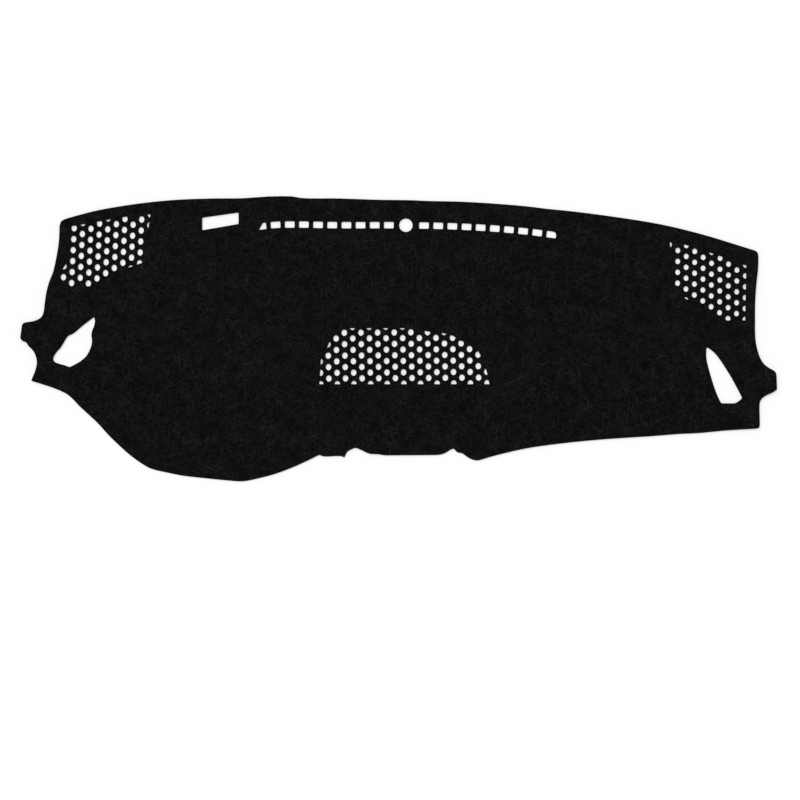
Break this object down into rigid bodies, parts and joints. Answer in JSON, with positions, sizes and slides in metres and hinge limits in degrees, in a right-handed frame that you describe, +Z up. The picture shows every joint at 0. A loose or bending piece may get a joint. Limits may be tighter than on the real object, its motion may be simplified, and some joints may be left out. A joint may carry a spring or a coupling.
{
  "type": "dashboard cover mat",
  "caption": "Flat felt mat cut to lie over a car dashboard, with punched air-hole fields, windscreen outlet slots, a sensor hole, a plate window and two side vent openings.",
  "frame": {"origin": "on the surface that the mat lies on, under the middle of its overall width and depth", "axes": "+X towards the right-hand end as seen from the cabin, +Y towards the windscreen, +Z up out of the upper face"},
  "size_m": [1.45, 0.547, 0.003],
  "materials": {
    "felt": "black needle-punched polyester felt, matt, with cut edges"
  },
  "bodies": {
    "root": {"dash_mat": "felt"}
  },
  "joints": []
}
